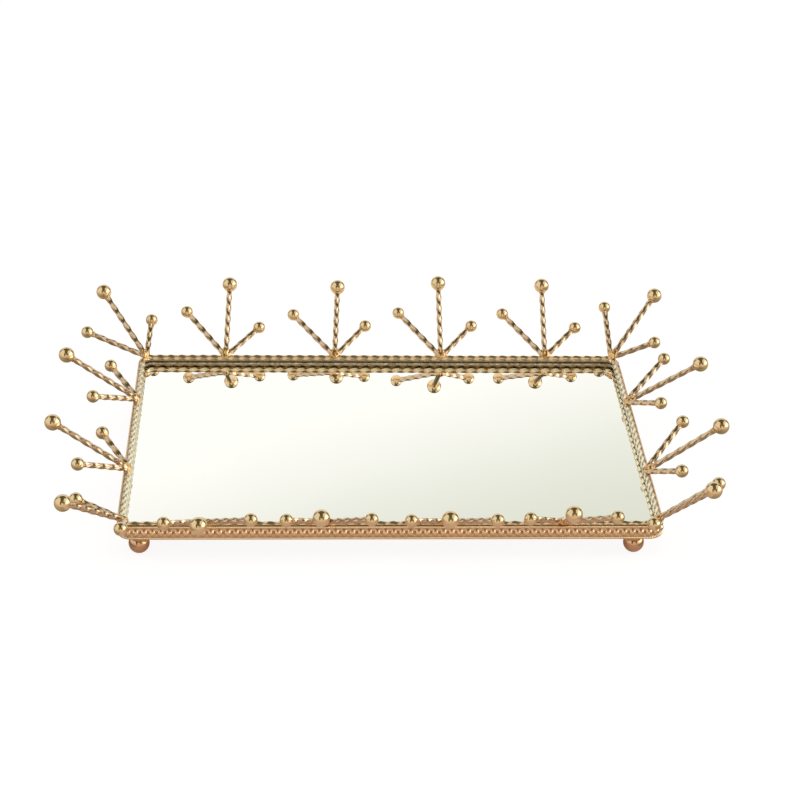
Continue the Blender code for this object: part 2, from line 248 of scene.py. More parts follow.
# Studio round the metal: directions are shares to the right, to the back and up, and colours are light
DIM_ROOM = (0.15, 0.125, 0.055)
BACK_WALL = (0.97, 0.97, 0.95)
SIDE_LIGHT = (1.02, 1.01, 0.97)
RIGHT_LIGHT = (2.6, 2.5, 2.35)
FRONT_LIGHT = (0.72, 0.58, 0.44)
CAMERA_SIDE = (0.27, 0.2, 0.12)
FRONT_EDGE = (1.0, 0.83, 0.68)
STAND = (0.06, 0.05, 0.03)
GLINT = (0.9, 0.75, 0.62)
END = 2  # past every direction's share, so that the area has no edge there
# Each area lies over those before it: limits to the right, back and up, softness of its edge, light
STUDIO_AREAS = [
    ((-END, -0.02), (-END, 0.9), (0.02, END), 0.08, SIDE_LIGHT),
    ((0.25, END), (-END, 0.9), (0.1, END), 0.07, SIDE_LIGHT),
    ((0.76, END), (-END, 0.3), (-0.02, 0.62), 0.07, RIGHT_LIGHT),
    ((-0.19, 0.22), (-END, END), (0.62, END), 0.08, DIM_ROOM),
    ((-0.36, 0.32), (-END, 0.6), (0.75, END), 0.08, DIM_ROOM),
    ((-0.52, 0.52), (0.22, END), (0.6, END), 0.07, DIM_ROOM),
    ((-END, -0.38), (0.5, 0.8), (-END, 0.5), 0.1, DIM_ROOM),
    ((0.38, END), (0.45, 0.8), (-END, 0.5), 0.1, DIM_ROOM),
    ((-0.38, 0.36), (0.5, END), (-END, 0.62), 0.05, BACK_WALL),
    ((-END, END), (0.78, END), (-END, 0.62), 0.05, BACK_WALL),
    ((-0.38, 0.5), (-END, -0.4), (0.24, 0.72), 0.1, CAMERA_SIDE),
    ((-END, END), (-END, -0.4), (-END, 0.14), 0.08, FRONT_EDGE),
    ((-0.26, 0.3), (-END, -0.4), (0.06, 0.5), 0.06, GLINT),
    ((-0.5, -0.3), (-END, -0.4), (0.1, 0.74), 0.05, STAND),
    ((0.36, 0.5), (-END, -0.4), (0.14, 0.7), 0.05, STAND),
]

# The white backdrop in the mirror, which dims a little upwards and to the right
BACKDROP = (1.06, 1.05, 1.01)
BACKDROP_SHADE = (0.765, 0.778, 0.676)
BACKDROP_SLOPE_UP = 18.2
BACKDROP_SLOPE_RIGHT = 5.0
BACKDROP_SHADE_ENDS = (8.97, 10.65)
BACKDROP_DEPTH = 2.5  # ray depth up to which the mirror shows the backdrop alone
METAL_BACKDROP = 0.4  # share of the backdrop in what the metal sees by way of the mirror
BACKDROP_AGAIN = 0.5  # how much more of it the metal sees that is itself seen in the mirror
BACKDROP_AGAIN_DEPTH = 3.5  # ray depth past which that is so

# Lamp and camera
LAMP_PLACE = (-0.2, -0.3, 2.6)
LAMP_SIZE = 2.5
LAMP_POWER = 20
CAMERA_PLACE = (-57.8 * MM, -1124.63 * MM, 684.135 * MM)
CAMERA_YAW = math.radians(-3.367)
CAMERA_PITCH = math.radians(29.438)
CAMERA_ROLL = math.radians(1.747)
CAMERA_LENS = 93.15  # in mm, like the sensor
CAMERA_SENSOR = 36

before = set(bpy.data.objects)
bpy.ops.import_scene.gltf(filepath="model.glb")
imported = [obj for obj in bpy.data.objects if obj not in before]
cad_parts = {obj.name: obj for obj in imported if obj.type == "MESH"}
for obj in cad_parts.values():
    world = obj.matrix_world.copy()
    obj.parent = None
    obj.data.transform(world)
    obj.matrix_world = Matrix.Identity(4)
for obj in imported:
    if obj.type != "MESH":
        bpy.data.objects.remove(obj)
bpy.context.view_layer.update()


# Node helpers


def new_material(name):
    """A material with its nodes, its links and its main shader."""
    material = bpy.data.materials.new(name)
    material.use_nodes = True
    nodes = material.node_tree.nodes
    return material, nodes, material.node_tree.links, nodes["Principled BSDF"]


def feed(links, socket, value):
    """Sets a socket to a number or a colour, or links it to the socket that gives its value."""
    if isinstance(value, bpy.types.NodeSocket):
        links.new(value, socket)
    elif isinstance(value, tuple):
        socket.default_value = (*value, 1)
    else:
        socket.default_value = value


def object_place(nodes):
    """The place on the object that is being coloured."""
    return nodes.new("ShaderNodeTexCoord").outputs["Object"]


def noise_node(nodes, links, place, scale, detail):
    node = nodes.new("ShaderNodeTexNoise")
    node.inputs["Scale"].default_value = scale
    node.inputs["Detail"].default_value = detail
    links.new(place, node.inputs["Vector"])
    return node.outputs["Fac"]


def ramp_node(nodes, links, value, ends, colours):
    """A colour that turns from the first to the second one between those two ends of the value."""
    node = nodes.new("ShaderNodeValToRGB")
    for element, end, colour in zip(node.color_ramp.elements, ends, colours):
        element.position = end
        element.color = (*colour, 1)
    links.new(value, node.inputs["Fac"])
    return node.outputs["Color"]


def range_node(nodes, links, value, ends=(0, 1), results=(0, 1), interpolation="LINEAR"):
    """The value, stretched from those ends to those results and held there."""
    node = nodes.new("ShaderNodeMapRange")
    node.interpolation_type = interpolation
    settings = zip(("From Min", "From Max", "To Min", "To Max"), (*ends, *results))
    for name, number in settings:
        node.inputs[name].default_value = number
    links.new(value, node.inputs["Value"])
    return node.outputs["Result"]


def math_node(nodes, links, operation, *values, clamp=False):
    node = nodes.new("ShaderNodeMath")
    node.operation = operation
    node.use_clamp = clamp
    for socket, value in zip(node.inputs, values):
        feed(links, socket, value)
    return node.outputs["Value"]


def mix_node(nodes, links, share, under, over, blend="MIX"):
    """The colour under, with the other one over it by that share."""
    node = nodes.new("ShaderNodeMix")
    node.data_type = "RGBA"
    node.blend_type = blend
    for name, value in (("Factor", share), ("A", under), ("B", over)):
        feed(links, node.inputs[name], value)
    return node.outputs["Result"]


def bump_node(nodes, links, shader, height, bump):
    """Gives the shader a bumpy skin; bump is a depth and a strength."""
    node = nodes.new("ShaderNodeBump")
    depth, strength = bump
    node.inputs["Distance"].default_value = depth
    node.inputs["Strength"].default_value = strength
    links.new(height, node.inputs["Height"])
    links.new(node.outputs["Normal"], shader.inputs["Normal"])


# Finishes


def plated_metal(name, shade_and_grime_ends=DEEP_SHADE_AND_GRIME):
    """Polished plating: cloudy tone, painted shade and grime in the recesses, uneven polish and a faint
    grain.
    """
    colour, full_shade_and_grime, roughness = PLATINGS[name]
    material, nodes, links, shader = new_material(name)
    place = object_place(nodes)
    cloud = noise_node(nodes, links, place, CLOUD_SCALE, CLOUD_DETAIL)
    shade = tuple(channel * CLOUD_SHADE for channel in colour)
    tone = ramp_node(nodes, links, cloud, TONE_ENDS, (shade, colour))
    # Painted shade and grime: the colour is darkened where ambient occlusion finds a recess.
    hollow = nodes.new("ShaderNodeAmbientOcclusion")
    hollow.inputs["Distance"].default_value = RECESS_REACH
    shade_and_grime = ramp_node(nodes, links, hollow.outputs["AO"], shade_and_grime_ends, (full_shade_and_grime, WHITE))
    shaded_and_stained = mix_node(nodes, links, 1, tone, shade_and_grime, "MULTIPLY")
    links.new(shaded_and_stained, shader.inputs["Base Color"])
    links.new(range_node(nodes, links, cloud, results=roughness), shader.inputs["Roughness"])
    shader.inputs["Metallic"].default_value = 1
    grain = noise_node(nodes, links, place, GRAIN_SCALE, GRAIN_DETAIL)
    bump_node(nodes, links, shader, grain, GRAIN_BUMP)
    return material


def patchy_material(name, scale, tones, ends=TONE_ENDS, detail=TONE_DETAIL):
    """A material whose colour goes from one tone to another in patches, its nodes and the patches."""
    material, nodes, links, shader = new_material(name)
    patches = noise_node(nodes, links, object_place(nodes), scale, detail)
    links.new(ramp_node(nodes, links, patches, ends, tones), shader.inputs["Base Color"])
    return material, nodes, links, shader, patches


def silvered_mirror():
    """Silvered glass: a faint green tone with hardly visible smears."""
    material, _, _, shader, _ = patchy_material("silvered_glass", SILVER_SCALE, SILVER_TONES)
    shader.inputs["Roughness"].default_value = 0
    shader.inputs["Metallic"].default_value = 1
    return material


def ground_glass():
    """The glass's ground edge."""
    material, nodes, links, shader, grit = patchy_material("ground_glass", EDGE_SCALE, EDGE_TONES)
    links.new(range_node(nodes, links, grit, results=EDGE_ROUGHNESS), shader.inputs["Roughness"])
    bump_node(nodes, links, shader, grit, EDGE_BUMP)
    return material


def dried_glue():
    """Clear glue, dried milky, in the gap round the glass."""
    glue_look = ("clear_glue", GLUE_SCALE, GLUE_TONES, GLUE_ENDS)
    material, nodes, links, shader, bubbles = patchy_material(*glue_look)
    links.new(range_node(nodes, links, bubbles, results=GLUE_ROUGHNESS), shader.inputs["Roughness"])
    bump_node(nodes, links, shader, bubbles, GLUE_BUMP)
    return material


def pressed_felt():
    """Thin black felt under the glass."""
    felt_look = ("black_felt", FELT_SCALE, FELT_TONES, FELT_ENDS, FELT_DETAIL)
    material, nodes, links, shader, fibre = patchy_material(*felt_look)
    shader.inputs["Roughness"].default_value = FELT_ROUGHNESS
    bump_node(nodes, links, shader, fibre, FELT_BUMP)
    return material


def back_paint():
    """Grey paint over the silvering, on the underside of the glass."""
    material, _, _, shader, _ = patchy_material("back_paint", PAINT_SCALE, PAINT_TONES)
    shader.inputs["Roughness"].default_value = PAINT_ROUGHNESS
    return material


gold = plated_metal("gold")
wire_gold = plated_metal("wire_gold")
pale_gold = plated_metal("pale_gold")
shaded_rim_gold = plated_metal("shaded_rim_gold")
rose_gold = plated_metal("rose_gold", SHALLOW_SHADE_AND_GRIME)
shaded_inner_gold = plated_metal("shaded_inner_gold")
shaded_copper_rose = plated_metal("shaded_copper_rose")
weld_gold = plated_metal("weld_gold")
solder = plated_metal("solder")
mirror_finish = silvered_mirror()
glass_edge = ground_glass()
clear_glue = dried_glue()
felt = pressed_felt()
grey_paint = back_paint()


# Shape helpers


def add_piece(name, mesh, finishes, slot, *nodes, place=Matrix.Identity(4)):
    """A piece of the object on its only body, at that place and instead of the named frame nodes."""
    piece = bpy.data.objects.new(name, mesh)
    bpy.context.scene.collection.objects.link(piece)
    piece.matrix_world = place
    if not mesh.materials:
        for finish in finishes:
            mesh.materials.append(finish)
    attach(piece, "root")
    if nodes:
        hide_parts(*nodes)


def smooth(mesh):
    mesh.shade_smooth()
    mesh.set_sharp_from_angle(angle=SMOOTH_BELOW)


def finished_mesh(name, shape):
    """The mesh of a bmesh shape, which is freed."""
    mesh = bpy.data.meshes.new(name)
    shape.to_mesh(mesh)
    shape.free()
    return mesh


def swept_mesh(name, rings, closed):
    """A skin through the rings of points, an array of (ring, point, 3); an open one gets end caps."""
    count, around, _ = rings.shape
    corners = np.arange(count * around).reshape(count, around)
    following = np.roll(corners, -1, axis=0)
    if not closed:
        corners = corners[:-1]
        following = following[:-1]
    next_corners = np.roll(corners, -1, axis=1)
    next_following = np.roll(following, -1, axis=1)
    quads = np.stack([corners, next_corners, next_following, following], axis=-1)
    faces = quads.reshape(-1, 4).tolist()
    if not closed:
        faces.append(list(range(around)))
        faces.append(list(range((count - 1) * around, count * around)))
    mesh = bpy.data.meshes.new(name)
    mesh.from_pydata(rings.reshape(-1, 3).tolist(), [], faces)
    shape = bmesh.new()
    shape.from_mesh(mesh)
    bmesh.ops.recalc_face_normals(shape, faces=shape.faces)
    shape.to_mesh(mesh)
    shape.free()
    return mesh


def joined_mesh(name, *meshes):
    """One mesh of several bodies."""
    shape = bmesh.new()
    for mesh in meshes:
        shape.from_mesh(mesh)
        bpy.data.meshes.remove(mesh)
    return finished_mesh(name, shape)


def corner_radius(inset):
    """Radius of the outline's corners, this far inside the frame."""
    return CORNER_RADIUS - inset


def outline_length(inset):
    """Length of the outline, this far inside the frame."""
    radius = corner_radius(inset)
    return 2 * (FRAME_WIDTH + FRAME_DEPTH) - 8 * (inset + radius) + 2 * math.pi * radius


def walk(inset, distance):
    """Place and outward direction, this far along the outline anticlockwise from the front's left."""
    radius = corner_radius(inset)
    place = Vector((inset + radius - FRAME_WIDTH / 2, inset - FRAME_DEPTH / 2, 0))
    angle = 0.0
    for side in range(4):
        heading = Matrix.Rotation(math.pi / 2 * side, 3, "Z")
        straight = (FRAME_DEPTH if side % 2 else FRAME_WIDTH) - 2 * (inset + radius)
        place += heading @ Vector((min(distance, straight), 0, 0))
        distance -= min(distance, straight)
        turn = min(distance / radius, math.pi / 2)
        place += heading @ Vector((math.sin(turn), 1 - math.cos(turn), 0)) * radius
        distance -= turn * radius
        angle += turn
    return place, Vector((math.sin(angle), -math.cos(angle), 0))


def full_turn(count):
    """Angles of that many points spread evenly round a circle."""
    return [2 * math.pi * step / count for step in range(count)]


def wire_section():
    """The section of the wire, a square with full round edges, as an array of (point, 2)."""
    points = []
    for turn in full_turn(WIRE_POINTS):
        cos = math.cos(turn)
        sin = math.sin(turn)
        fullness = (abs(cos) ** WIRE_FULLNESS + abs(sin) ** WIRE_FULLNESS) ** (1 / WIRE_FULLNESS)
        points.append((WIRE_SIDE / 2 / fullness * cos, WIRE_SIDE / 2 / fullness * sin))
    return np.array(points)


def turned(section, angle):
    """The section, turned anticlockwise by that angle."""
    cos = math.cos(angle)
    sin = math.sin(angle)
    return section @ np.array([[cos, sin], [-sin, cos]])


def ball_mesh(name, radius, middle, pole):
    shape = bmesh.new()
    turn = Vector((0, 0, 1)).rotation_difference(pole).to_matrix().to_4x4()
    place = Matrix.Translation(middle) @ turn
    bmesh.ops.create_uvsphere(
        shape, u_segments=BALL_SEGMENTS, v_segments=BALL_RINGS, radius=radius, matrix=place
    )
    return finished_mesh(name, shape)


def lump_mesh(name, size, middle, lumps, wave, seed, turn=Matrix.Identity(3)):
    """A lump of weld: a rounded body of that size with a bumpy skin, different for each seed."""
    shape = bmesh.new()
    bmesh.ops.create_icosphere(shape, subdivisions=LUMP_SUBDIVISIONS, radius=1)
    for vert in shape.verts:
        body = vert.co.normalized() * Vector(size) / 2
        bump = noise.noise(body / wave + seed * SEED_STEP)
        vert.co = middle + turn @ (body * (1 + lumps * bump))
    return finished_mesh(name, shape)


# Gallery strip


def strip_rows():
    """Rows of the strip's outer face from the bottom up: (height, relief, flute share)."""
    rows = []
    for step in range(RIDGE_ROWS + 1):
        across = 2 * step / RIDGE_ROWS - 1
        relief = RIDGE_RELIEF * (RIDGE_EDGE + (1 - RIDGE_EDGE) * math.sqrt(1 - across**2))
        rows.append((RIDGE_HEIGHT * step / RIDGE_ROWS, relief, 1.0))
    rows.append((RIDGE_HEIGHT + RIDGE_SLOPE, 0.0, 0.0))
    bottom = STRIP_HEIGHT / 2 - BEAD_DIAMETER / 2
    beads = [(bottom + BEAD_DIAMETER * step / BEAD_ROWS, 0.0, 0.0) for step in range(BEAD_ROWS + 1)]
    upper = [(STRIP_HEIGHT - height, relief, flute) for height, relief, flute in reversed(rows)]
    return rows + beads + upper


def bead_relief(along, height):
    """How far a stamped bead stands out of the sheet, this far along and above the bead's middle."""
    radius = (BEAD_DIAMETER**2 / 4 + BEAD_RELIEF**2) / (2 * BEAD_RELIEF)
    chord = radius**2 - along**2 - height**2
    return max(0.0, math.sqrt(max(chord, 0.0)) - (radius - BEAD_RELIEF))


def strip_profiles(pitch):
    """Sections of the strip across one bead, each from the top of its inner face round: (out, height)."""
    columns = FLUTES_PER_BEAD * COLUMNS_PER_FLUTE
    rows = strip_rows()
    profiles = []
    for column in range(columns):
        along = pitch * (column / columns - 0.5)
        groove = FLUTE_DEPTH * (0.5 + 0.5 * math.cos(2 * math.pi * column / COLUMNS_PER_FLUTE))
        profile = [(-STRIP_SHEET, STRIP_HEIGHT), (-STRIP_SHEET, 0.0)]
        for height, relief, share in rows:
            out = relief - groove * share + bead_relief(along, height - STRIP_HEIGHT / 2)
            profile.append((out, height))
        profiles.append(profile)
    return profiles


def make_gallery_strip():
    """The stamped strip with its beads and fluted ridges, duller on its inner face and darker there as
    painted shade.
    """
    low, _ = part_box("gallery_strip")
    length = outline_length(BEAD_RELIEF)
    beads = round(length / BEAD_PITCH)
    profiles = strip_profiles(length / beads)
    count = beads * len(profiles)
    rings = []
    for number in range(count):
        place, outward = walk(BEAD_RELIEF, length * number / count)
        profile = profiles[number % len(profiles)]
        rings.append(
            [
                (place.x + outward.x * out, place.y + outward.y * out, low[2] + height)
                for out, height in profile
            ]
        )
    mesh = swept_mesh("gallery_strip_stamped", np.array(rings), closed=True)
    smooth(mesh)
    finishes = [rose_gold, shaded_inner_gold]
    around = len(profiles[0])
    # The inner faces take the darker copy, painted shade under the rim wire.
    for face in mesh.polygons:
        if face.index % around == 0:  # the first face of each section is the inner one
            face.material_index = finishes.index(shaded_inner_gold)
    add_piece("strip_stamped", mesh, finishes, "rose_gold", "gallery_strip")


# Rim wire and seams


def make_rim_wires():
    """Four lengths of twisted wire, which meet in the corners' middles; the long ones get a browner,
    darker copy of the plating as painted shade, the short ones a paler copy as painted light.
    """
    length = outline_length(RIM_WIRE_INSET)
    turns = round(length / RIM_WIRE_TURN)
    section = wire_section()
    radius = corner_radius(RIM_WIRE_INSET)
    bend = math.pi / 2 * radius
    start = -bend / 2
    for side in ("front", "right", "back", "left"):
        side_length = FRAME_WIDTH if side in LONG_SIDES else FRAME_DEPTH
        wire_length = side_length - 2 * (RIM_WIRE_INSET + radius) + bend
        steps = round(wire_length / RIM_WIRE_TURN * STEPS_PER_TURN)
        rings = []
        for step in range(steps + 1):
            distance = start + wire_length * step / steps
            place, outward = walk(RIM_WIRE_INSET, distance % length)
            ring = turned(section, -2 * math.pi * turns * distance / length)
            rings.append([place + outward * x + Vector((0, 0, RIM_WIRE_Z + z)) for x, z in ring])
        start += wire_length
        mesh = swept_mesh("rim_twisted_" + side, np.array(rings), closed=False)
        smooth(mesh)
        # One wire stock in two copies: darker on the long sides as painted shade, paler on the short
        # sides as painted light.
        finish = shaded_rim_gold if side in LONG_SIDES else pale_gold
        add_piece("rim_twisted_" + side, mesh, [finish], "pale_gold", "rim_wire_" + side)


def make_seam(name, size, inset, z, finish, slot):
    """An uneven line of solder or glue all round the frame, of that size across and up."""
    length = outline_length(inset)
    count = round(length / size[1])
    turns = full_turn(SEAM_SIDES)
    rings = []
    for number in range(count):
        place, outward = walk(inset, length * number / count)
        swell = 1 + SEAM_UNEVENNESS * noise.noise(place / SEAM_WAVE)
        middle = place + Vector((0, 0, z))
        across = outward * size[0] / 2 * swell
        up = Vector((0, 0, size[1] / 2 * swell))
        rings.append([middle + across * math.cos(turn) + up * math.sin(turn) for turn in turns])
    mesh = swept_mesh(name, np.array(rings), closed=True)
    smooth(mesh)
    add_piece(name, mesh, [finish], slot)


# Sprays


def stem_mesh(name, length, spread, ball, seed):
    """A stem in its spray's plane: X clockwise along the rim, Y out along the lean."""
    along = Vector((math.sin(spread), math.cos(spread), 0))
    across = Vector((along.y, -along.x, 0))
    up = Vector((0, 0, 1))
    section = wire_section()
    wire_length = length - ball * WIRE_STOP
    steps = math.ceil(wire_length / STEM_WIRE_TURN * STEPS_PER_TURN)
    rings = []
    for step in range(steps + 1):
        ring = turned(section, -2 * math.pi * wire_length / STEM_WIRE_TURN * step / steps)
        place = along * wire_length * step / steps
        rings.append([place + across * x + up * z for x, z in ring])
    wire = swept_mesh(name, np.array(rings), closed=False)
    head = ball_mesh(name, ball / 2, along * length, along)
    collar_size = (2 * COLLAR_RADIUS, COLLAR_LENGTH, 2 * COLLAR_RADIUS)
    collar_turn = Vector((0, 1, 0)).rotation_difference(along).to_matrix()
    collar = lump_mesh(
        name, collar_size, along * (length - ball / 2), COLLAR_LUMPS, COLLAR_WAVE, seed, collar_turn
    )
    bodies = (wire, head, collar)
    for index, body in enumerate(bodies):
        for face in body.polygons:
            face.material_index = index
    mesh = joined_mesh("stem_" + name, *bodies)
    smooth(mesh)
    return mesh


def spray_rise(lean):
    """How far a spray with that lean is lifted off its start, so that its stems clear the strip."""
    return max(0, (SPRAY_CLEARANCE - SPRAY_REACH * math.sin(lean)) / math.cos(lean) - SPRAY_RISE)


def make_spray(name, place, heading, seed, extra_rise=0.0):
    """Three stems and the weld that holds them to the rim."""
    bend, swing, shift = HAND_BEND.get(name, (0, 0, 0))
    lean = SPRAY_LEAN + math.radians(bend)
    turn = Matrix.Rotation(heading, 4, "Z")
    start = place + turn @ Vector((shift * MM, 0, spray_rise(lean) + extra_rise))
    stand = Matrix.Translation(start) @ turn @ Matrix.Rotation(lean, 4, "X")
    finishes = [wire_gold, gold, weld_gold]
    for stem, mesh in stem_meshes.items():
        lift, sway = STEM_BEND.get(f"{name}_{stem}", (0, 0))
        tilt = Matrix.Rotation(math.radians(lift), 4, "X")
        stem_place = stand @ Matrix.Rotation(-math.radians(swing + sway), 4, "Z") @ tilt
        add_piece(f"stem_{name}_{stem}", mesh, finishes, "gold", f"spray_{name}_{stem}", place=stem_place)
    weld = lump_mesh(f"weld_{name}", WELD_SIZE, Vector((0, WELD_MIDDLE, 0)), WELD_LUMPS, WELD_WAVE, seed)
    smooth(weld)
    add_piece(f"weld_{name}", weld, [weld_gold], "gold", place=stand)


def make_side_sprays(side, heading, reach, length, count, margin, shift, seeds):
    """The sprays of one side, evenly spread between its margins and set off by the shift."""
    pitch = (length - 2 * margin) / (count - 1)
    turn = Matrix.Rotation(heading, 3, "Z")
    for number in range(count):
        along = shift + pitch * (number - (count - 1) / 2)
        place = turn @ Vector((along, reach, SPRAY_Z))
        make_spray(f"{side}_{number + 1}", place, heading, next(seeds))


def make_corner_spray(name, x, y, seed):
    """The spray in one corner, which points out along the corner's middle line."""
    inset = SPRAY_INSET + corner_radius(SPRAY_INSET) * (1 - 1 / math.sqrt(2))
    place = Vector((x * (FRAME_WIDTH / 2 - inset), y * (FRAME_DEPTH / 2 - inset), SPRAY_Z))
    make_spray(name, place, math.atan2(-x, y), seed, CORNER_RISE)


def make_sprays():
    seeds = itertools.count(FIRST_SPRAY_SEED)
    half_depth = FRAME_DEPTH / 2 - SPRAY_INSET
    half_width = FRAME_WIDTH / 2 - SPRAY_INSET
    long_side = (half_depth, FRAME_WIDTH, LONG_SIDE_SPRAYS, LONG_SIDE_MARGIN, LONG_SIDE_SHIFT)
    short_side = (half_width, FRAME_DEPTH, SHORT_SIDE_SPRAYS, SHORT_SIDE_MARGIN, SHORT_SIDE_SHIFT)
    make_side_sprays("back", 0, *long_side, seeds)
    make_side_sprays("left", math.pi / 2, *short_side, seeds)
    make_side_sprays("front", math.pi, *long_side, seeds)
    make_side_sprays("right", -math.pi / 2, *short_side, seeds)
    for side, y in (("back", 1), ("front", -1)):
        for end, x in (("left", -1), ("right", 1)):
            make_corner_spray(f"{side}_{end}", x, y, next(seeds))


# Mirror


def rounded_outline(inset, z):
    """Points round the frame at that height, this far inside it."""
    radius = corner_radius(inset)
    points = []
    for number, (x, y) in enumerate(((1, -1), (1, 1), (-1, 1), (-1, -1))):
        middle_x = x * (FRAME_WIDTH / 2 - inset - radius)
        middle_y = y * (FRAME_DEPTH / 2 - inset - radius)
        for step in range(CORNER_STEPS + 1):
            angle = math.pi / 2 * (number - 1 + step / CORNER_STEPS)
            points.append((middle_x + radius * math.cos(angle), middle_y + radius * math.sin(angle), z))
    return points


def make_mirror():
    """The glass with its ground edges, silvered above and painted below."""
    low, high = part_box("mirror_glass")
    rings = [
        rounded_outline(MIRROR_INSET + MIRROR_ARRIS, low[2]),
        rounded_outline(MIRROR_INSET, low[2] + MIRROR_ARRIS),
        rounded_outline(MIRROR_INSET, high[2] - MIRROR_ARRIS),
        rounded_outline(MIRROR_INSET + MIRROR_ARRIS, high[2]),
    ]
    mesh = swept_mesh("mirror_plate", np.array(rings), closed=False)
    finishes = [mirror_finish, glass_edge, grey_paint]
    around = len(rings[0])
    for face in mesh.polygons:
        if len(face.vertices) < around:  # all but the top and the bottom
            face.material_index = finishes.index(glass_edge)
        elif face.normal.z < 0:
            face.material_index = finishes.index(grey_paint)
    add_piece("mirror_plate", mesh, finishes, "silvered_glass", "mirror_glass")


# Feet


def foot_ball(middle_z):
    """A ball with the small flat it stands on, turned about Z."""
    radius = FOOT_BALL / 2
    angle = math.asin(FOOT_FLAT / FOOT_BALL)
    profile = [(FOOT_FLAT / 2 * share, 0.0) for share in FOOT_FLAT_RINGS]
    for step in range(BALL_RINGS + 1):
        turn = angle + (math.pi - angle) * step / BALL_RINGS
        profile.append((max(radius * math.sin(turn), FOOT_BALL_TIP), middle_z - radius * math.cos(turn)))
    turns = full_turn(BALL_SEGMENTS)
    rings = []
    for out, z in profile:
        rings.append([(out * math.cos(turn), out * math.sin(turn), z) for turn in turns])
    return swept_mesh("foot_ball", np.array(rings), closed=False)


def foot_plate(x, y, bottom):
    """A square plate with eased edges, its middle shifted inboard of the ball."""
    shape = bmesh.new()
    size = Matrix.Diagonal((FOOT_PLATE_SIDE, FOOT_PLATE_SIDE, FOOT_PLATE_THICKNESS, 1))
    middle = (-x * FOOT_PLATE_SHIFT, -y * FOOT_PLATE_SHIFT, bottom + FOOT_PLATE_THICKNESS / 2)
    bmesh.ops.create_cube(shape, size=1, matrix=Matrix.Translation(middle) @ size)
    bmesh.ops.bevel(
        shape,
        geom=shape.edges[:],
        offset=FOOT_PLATE_EASE,
        segments=EASE_SEGMENTS,
        affect="EDGES",
        profile=EASE_PROFILE,
    )
    return finished_mesh("foot_plate", shape)


def make_feet():
    """Four balls, each welded under its square plate."""
    middle_z = math.sqrt((FOOT_BALL / 2) ** 2 - (FOOT_FLAT / 2) ** 2)
    weld_size = (2 * FOOT_WELD_RADIUS, 2 * FOOT_WELD_RADIUS, FOOT_WELD_HEIGHT)
    seeds = itertools.count(FIRST_FOOT_SEED)
    for side, y in (("front", -1), ("back", 1)):
        for end, x in (("left", -1), ("right", 1)):
            node = f"foot_{side}_{end}"
            _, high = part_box(node)
            bottom = high[2] - FOOT_PLATE_THICKNESS
            weld_middle = Vector((0, 0, bottom))
            weld = lump_mesh("foot_weld", weld_size, weld_middle, WELD_LUMPS, WELD_WAVE, next(seeds))
            mesh = joined_mesh(node + "_ball", foot_ball(middle_z), foot_plate(x, y, bottom), weld)
            smooth(mesh)
            foot_x = x * (FRAME_WIDTH / 2 - FOOT_INSET_X) + FOOT_SHIFT_X
            foot_y = y * (FRAME_DEPTH / 2 - FOOT_INSET_Y)
            place = Matrix.Translation((foot_x, foot_y, 0))
            # The feet take the darker rose copy, painted shade under the tray.
            add_piece(node + "_ball", mesh, [shaded_copper_rose], "rose_gold", node, place=place)


collar_seeds = itertools.count(FIRST_COLLAR_SEED)
stem_meshes = {stem: stem_mesh(stem, *sizes, next(collar_seeds)) for stem, sizes in STEMS.items()}
make_gallery_strip()
make_rim_wires()
make_seam("solder_seam", SOLDER_SIZE, SOLDER_INSET, SOLDER_Z, solder, "rose_gold")
make_seam("edge_seal", SEAL_SIZE, SEAL_INSET, SEAL_Z, clear_glue, "silvered_glass")
make_sprays()
make_mirror()
make_feet()

for node, finish in (("base_plate", gold), ("cushion_sheet", felt)):
    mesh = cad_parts[node].data
    mesh.materials.clear()
    mesh.materials.append(finish)


# Studio


def between(nodes, links, value, low, high, soft):
    """1 where the value lies between low and high, falling to 0 over a soft edge on either side."""
    rise = range_node(nodes, links, value, (low - soft, low + soft), (0, 1), "SMOOTHSTEP")
    fall = range_node(nodes, links, value, (high - soft, high + soft), (1, 0), "SMOOTHSTEP")
    return math_node(nodes, links, "MULTIPLY", rise, fall)


def studio_light(nodes, links, direction):
    """The light that the metal sees, by the direction's shares to the right, to the back and up."""
    light = FRONT_LIGHT
    for *limits, soft, colour in STUDIO_AREAS:
        cover = 1
        for share, (low, high) in zip(direction, limits):
            inside = between(nodes, links, share, low, high, soft)
            cover = math_node(nodes, links, "MULTIPLY", cover, inside)
        light = mix_node(nodes, links, cover, light, colour)
    return light


def backdrop_light(nodes, links, right, up):
    """The white backdrop that the mirror shows."""
    leaning = math_node(nodes, links, "MULTIPLY", right, BACKDROP_SLOPE_RIGHT)
    height = math_node(nodes, links, "MULTIPLY_ADD", up, BACKDROP_SLOPE_UP, leaning)
    shade = range_node(nodes, links, height, BACKDROP_SHADE_ENDS, interpolation="SMOOTHSTEP")
    return mix_node(nodes, links, shade, BACKDROP, BACKDROP_SHADE)


